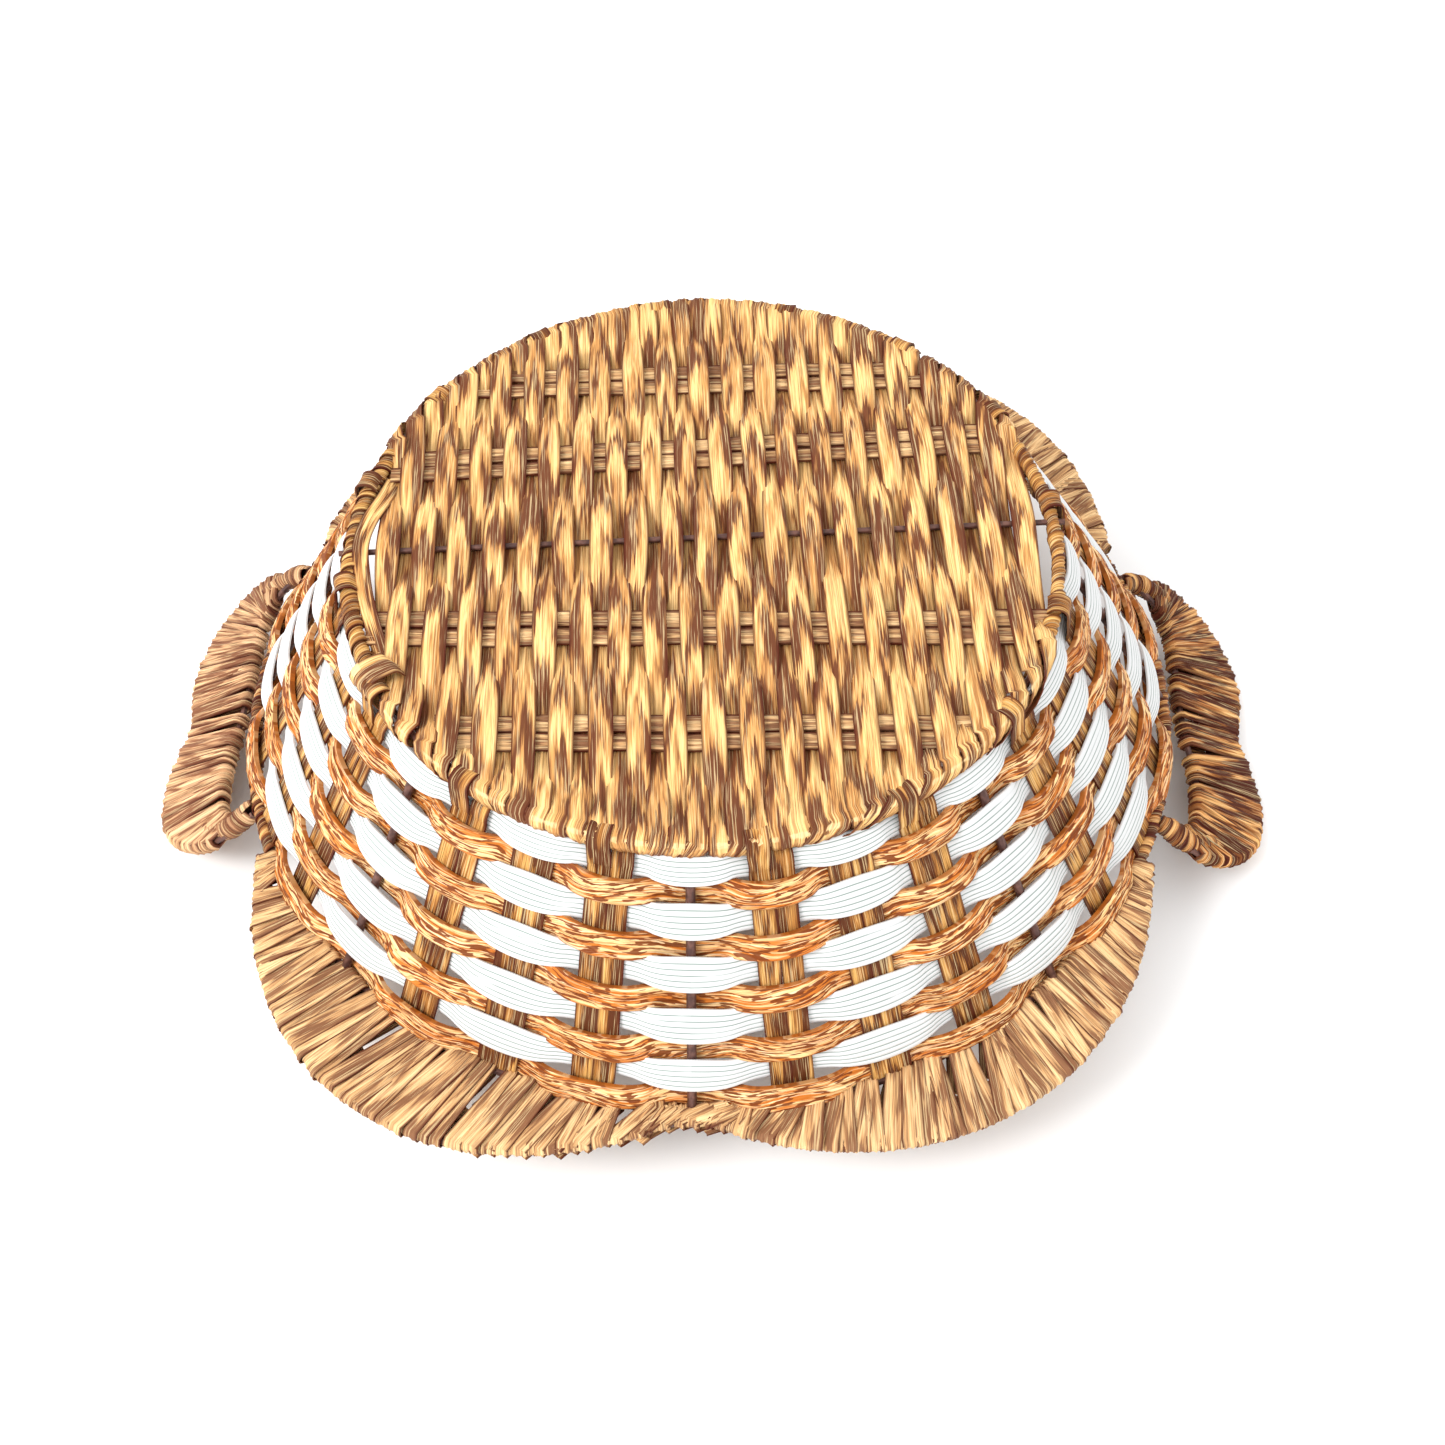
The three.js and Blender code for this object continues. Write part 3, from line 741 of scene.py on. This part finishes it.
# ---- Base ----
def base_frame(x, y, z):
    """A point of the base, from its own axes: x along the rod and y along the woven strips."""
    cos, sin = math.cos(BASE_TURN), math.sin(BASE_TURN)
    return np.stack([x * cos - y * sin, x * sin + y * cos, BASE_Z + z], -1)


def round_the_ring(edge, straight, rng):
    """A strip's end, and its ups: over the base ring, down its outside and back under it.

    It is creased and leans to one side. If it comes to the ring aslant, it is rounder and follows a helix.
    """
    radial = unit(np.array([edge[0], edge[1], 0.0]))
    tangent = np.cross(UP, radial)
    aslant = (straight @ tangent) / max(straight @ radial, 0.45)
    slope = 0.8 * aslant + rng.uniform(-1.0, 0.3)
    turn = np.linspace(0.08, 1.2, len(RING_FOLD)) * math.pi
    circle = FOLD_RADIUS * np.stack([np.sin(turn), np.cos(turn)], 1)
    roundness = min(1.0, abs(aslant))
    profile = (1 - roundness) * np.array(RING_FOLD) / 1000 + roundness * circle
    out, up = profile.T
    ahead = unit(np.gradient(profile, axis=0))
    ring = np.array([*(radial * BASE_RADIUS)[:2], BASE_Z])
    slip = slope * np.maximum(0, distances(profile) - (1 - roundness) * CREASE)
    path = ring + radial * out[:, None] + UP * up[:, None] + tangent * slip[:, None]
    return path, UP * ahead[:, :1] - radial * ahead[:, 1:]


def weave_height(x, y, over):
    """1 where a base strip at x lies over a cross piece, and -1 where it lies under one."""
    crossings = [place + x * math.tan(turn) for place, turn in zip(CROSS_PLACES, CROSS_TURNS)]
    pitch = (crossings[-1] - crossings[0]) / (len(crossings) - 1)
    knots = [crossings[0] - pitch, *crossings, crossings[-1] + pitch]
    count = np.interp(y, knots, np.arange(-1, len(crossings) + 1))
    return over * np.cos(np.pi * count)


def base_pass(index, rng):
    """One pass of the weave: its centres and ups, the share of its width and its tilt at each of them."""
    across = (index - (BASE_STRIPS - 1) / 2) * BASE_STRIP_PITCH + BASE_STRIP_SHIFT
    reach = math.sqrt(BASE_RADIUS ** 2 - across ** 2) - 0.0005
    y = np.linspace(-reach, reach, int(2 * reach / BASE_STRIP_STEP))
    height = weave_height(across, y, 1 if index % 2 == 0 else -1)
    inside = np.clip((reach - np.abs(y)) / RING_EASE, 0, 1)
    inside = inside * inside * (3 - 2 * inside)
    x = across + wander(rng, len(y), 12, 0.00025) * inside
    middle = base_frame(x, y, BASE_STRIP_LIFT * height * inside + RING_LIFT * (1 - inside))
    forward = base_frame(0.0, 1.0, 0.0) - base_frame(0.0, 0.0, 0.0)
    first, first_ups = round_the_ring(middle[0], -forward, rng)
    last, last_ups = round_the_ring(middle[-1], forward, rng)
    centres = np.concatenate([first[::-1], middle, last])
    ups = np.concatenate([first_ups[::-1], np.repeat(UP[None], len(y), 0), last_ups])
    widths = (1 + 0.13 * height * inside) * (1 + wander(rng, len(y), 10, 0.04))
    widths = np.pad(widths, len(RING_FOLD), "edge")
    tilts = np.pad(wander(rng, len(y), 13, 0.10), len(RING_FOLD))
    return centres, ups, widths, tilts


def make_base_weave(material):
    """One long strip laid to and fro: each pass goes over and under the cross pieces and round the ring."""
    rng = np.random.default_rng(7)
    strips = Strips()
    section = ribbon_section(BASE_STRIP_WIDTH, RAFFIA_THICKNESS, 0.0009, 0.00022)
    for index in range(BASE_STRIPS):
        centres, ups, widths, tilts = base_pass(index, rng)
        strips.sweep(centres, ups, section, widths=widths, tilts=tilts, seed=index)
    add_loose_strip(strips, SLIPPED, 0.0054, (-0.5, 0.35), 90)
    add_loose_strip(strips, FOLDED, 0.0096, (0, 0), 91)
    strips.finish("raffia_base_weave", material, "raffia", "base_weave")


def add_loose_strip(strips, route, width, lean, seed):
    """A strip along its own route on the base, tilted from one lean to the other."""
    curve = smooth_curve(route, 6) / 1000
    centres = base_frame(curve[:, 0], curve[:, 1], curve[:, 2])
    aside = np.cross(UP, unit(centres[-1] - centres[0]))
    ups = np.cross(np.gradient(centres, axis=0), aside)
    section = ribbon_section(width, RAFFIA_THICKNESS, 0.0006, 0.0002)
    strips.sweep(centres, ups, section, tilts=np.linspace(*lean, len(centres)), seed=seed)


def make_base_rope(material):
    """The base ring's own winding, where no base strip goes round it."""
    rng = np.random.default_rng(11)
    strips = Strips()
    for number, (middle, radius, width) in enumerate(BASE_ROPES):
        angle = BASE_TURN + middle + np.linspace(-ROPE_HALF, ROPE_HALF, 60)
        guide = around(angle) * BASE_RADIUS + UP * BASE_Z
        wind(strips, guide, around(angle), radius, width - ROPE_OVERLAP, width, rng, 95 + number)
    strips.finish("raffia_base_ring", material, "raffia")


def make_base_twin(number, place, material):
    """Two flat strips side by side across the base, with their ends under the ring's wraps."""
    rng = np.random.default_rng(400 + number)
    middle, turn = CROSS_PLACES[place], CROSS_TURNS[place]
    strips = Strips()
    section = ribbon_section(BASE_TWIN_WIDTH, 0.0008, 0.0003, 0.00032, columns=18)
    reach = math.sqrt((BASE_RADIUS - 0.002) ** 2 - middle ** 2)
    x = np.linspace(-reach, reach, 110)
    for side in (-1, 1):
        y = middle + x * math.tan(turn) + side * BASE_TWIN_ASIDE + wander(rng, len(x), 10, 0.00025)
        widths = 1 + wander(rng, len(x), 12, 0.05)
        tilts = wander(rng, len(x), 9, 0.05)
        strips.sweep(base_frame(x, y, np.zeros(len(x))), UP, section, widths=widths, tilts=tilts,
                     seed=40 + number * 2 + side)
    strips.finish(f"raffia_base_twin_{number}", material, "raffia", f"base_twin_{number}")


def make_base_rod(material):
    reach = BASE_RADIUS + 0.004
    x = np.linspace(-reach, reach, 20)
    y = CROSS_PLACES[ROD_PLACE] + x * math.tan(CROSS_TURNS[ROD_PLACE])
    strips = Strips()
    strips.sweep(base_frame(x, y, np.zeros(len(x))), UP, round_section(ROD_WIRE))
    strips.finish("bare_base_rod", material, "wire", "base_rod")


# ---- Rim and border ----
def lobe(angle, depths):
    """How far a border reaches out at an angle from its notch.

    depths has the lobe that is clockwise of the notch, seen from above, and then the other one.
    """
    share = min(max(0.0, abs(angle) - LOBE_START) / (LOBE_END - LOBE_START), 1.0)
    return depths[0 if angle < 0 else 1] * math.sin(math.pi * share)


def make_border(name, turn, depths, material):
    """The raffia wound between the rim ring and the border wire, leaning one way."""
    rng = np.random.default_rng(500 + int(turn))
    strips = Strips()

    def inner(angle):
        return around(angle + turn) * RIM_RADIUS + UP * RIM_Z

    def outer(angle):
        return around(angle + turn) * (RIM_RADIUS + BORDER_GAP + lobe(angle, depths)) + UP * RIM_Z

    starts = np.linspace(-LOBE_END + BORDER_MARGIN, LOBE_END - BORDER_MARGIN, BORDER_TURNS)
    lean = BORDER_LEAN * np.cos(starts / LOBE_END * math.pi / 2)
    near_scatter, far_scatter = BORDER_SCATTER
    ends = starts - lean + rng.normal(0, far_scatter, len(starts))
    starts = starts + rng.normal(0, near_scatter, len(starts))
    wind_between(strips, inner, outer, UP, starts, ends, BORDER_WIDTHS, rng, 10 * turn, crown=0.0003)
    strips.finish(f"raffia_border_{name}", material, "raffia", f"border_wrap_{name}")


def make_rim_rope(name, turn, material):
    """The rope-like winding of the rim ring beside a handle, where there is no border."""
    rng = np.random.default_rng(700 + int(turn))
    edge = math.pi / 2 - LOBE_END + 0.015
    angle = turn + math.pi / 2 + np.linspace(-edge, edge, 60)
    guide = around(angle) * RIM_RADIUS + UP * RIM_Z
    strips = Strips()
    wind(strips, guide, around(angle), *RIM_ROPE, rng, 77 + turn)
    strips.finish(f"raffia_rim_{name}", material, "raffia")


# ---- Handles ----
def make_handle(name, turn, material):
    """The raffia wound across the handle's two wires, and like a rope round both of them at each neck."""
    rng = np.random.default_rng(600 + int(turn))
    chord = RIM_RADIUS * math.cos(HANDLE_SPREAD)
    tilt_cos, tilt_sin = math.cos(HANDLE_TILT), math.sin(HANDLE_TILT)
    turned = np.array(Matrix.Rotation(turn, 3, "Z"))

    def wire(half):
        """A handle wire from its half outline, as a function of the share of its length."""
        outline = half + [(out, -along) for out, along in half[-2::-1]]
        out, along = smooth_curve(outline, 12).T / 1000
        points = np.stack([chord + out * tilt_cos, along, RIM_Z - out * tilt_sin], 1) @ turned.T
        length = distances(points)[-1]
        return lambda share: points_at(share * length, points)

    inner, outer = wire(HANDLE_INNER), wire(HANDLE_OUTER)
    normal = turned @ np.array([tilt_sin, 0, tilt_cos])
    strips = Strips()
    ends = np.linspace(*HANDLE_WOUND, HANDLE_TURNS)
    places = np.linspace(0, 1, 201)
    rail = np.array([inner(place) for place in places])
    nearest = [places[np.argmin(np.linalg.norm(rail - outer(end), axis=1))] for end in ends]
    lean = HANDLE_LEAN * math.cos(turn)  # both handles' turns lean to the same side of the basket
    starts = 0.75 * np.array(nearest) + 0.25 * ends + lean + rng.normal(0, 0.006, len(ends))
    wind_between(strips, inner, outer, normal, starts, ends, HANDLE_WIDTHS, rng, 50 + turn, crown=0.0013)
    for shares in (np.linspace(0, NECK, 24), np.linspace(1, 1 - NECK, 24)):
        middle = np.array([(inner(share) + outer(share)) / 2 for share in shares])
        square = np.repeat(normal[None], len(shares), 0)
        wind(strips, middle, square, *NECK_ROPE, rng, 90 + turn)
    strips.finish(f"raffia_handle_{name}", material, "raffia", f"handle_wrap_{name}")


# ---- Assembly ----
make_camera()
make_light()

GOLD = raffia("raffia_gold", rgb(250, 202, 130), rgb(214, 154, 88), rgb(108, 60, 34), base=True)
BROWN = raffia("raffia_brown", rgb(220, 166, 92), rgb(176, 116, 54), rgb(92, 46, 18), level=0.48)
TAN = raffia("raffia_tan", rgb(236, 194, 140), rgb(208, 160, 108), rgb(136, 92, 62))
# Two copies of one raffia for the handles: the first has darker colours as painted shade, with painted shade
# on its turns' edges from 0.30 of the width outwards for the valleys between turns; the second has paler
# colours as painted light. The rim ropes use the first too.
SHADED_BUNCHED = raffia("raffia_bunched_shaded", rgb(232, 176, 108), rgb(184, 116, 58), rgb(80, 34, 12), level=0.465,
                 outline=0.30, uneven=0.25)
LIT_SOFT = raffia("raffia_soft_lit", rgb(230, 186, 142), rgb(198, 150, 108), rgb(132, 84, 56), level=0.475,
              outline=0.5, uneven=0.2)
CANE = cane("cane")
WHITE = white_strip("white_ribbed", RIBS)
STEEL = steel("dark_wire")

for row in range(ROWS):
    make_cane(row, CANE)
    make_ribbed(row, WHITE)
for index in range(STAKES):
    if index % BARE_EVERY == 0:
        make_stake_wire(index, STEEL)
    else:
        make_stake_twin(index, BROWN)

make_base_weave(GOLD)
make_base_rope(BROWN)
twin_places = [place for place in range(len(CROSS_PLACES)) if place != ROD_PLACE]
for number, place in enumerate(twin_places, start=1):
    make_base_twin(number, place, TAN)
make_base_rod(STEEL)

make_border("front", 0.0, FRONT_LOBES, TAN)
make_border("back", math.pi, BACK_LOBES, TAN)
# The right handle gets the painted-shade copy of the raffia and the left one the painted-light copy.
for name, turn, material in (("right", HANDLE_BACK, SHADED_BUNCHED), ("left", math.pi - HANDLE_BACK, LIT_SOFT)):
    make_handle(name, turn, material)
    make_rim_rope(name, turn, SHADED_BUNCHED)

for node in ("base_ring", "rim_ring", "border_wire_front", "border_wire_back", "handle_inner_wire_left",
             "handle_inner_wire_right", "handle_outer_wire_left", "handle_outer_wire_right"):
    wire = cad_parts[node]
    wire.data.materials.clear()
    wire.data.materials.append(STEEL)

visual_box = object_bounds()
make_floor(visual_box[0][2])
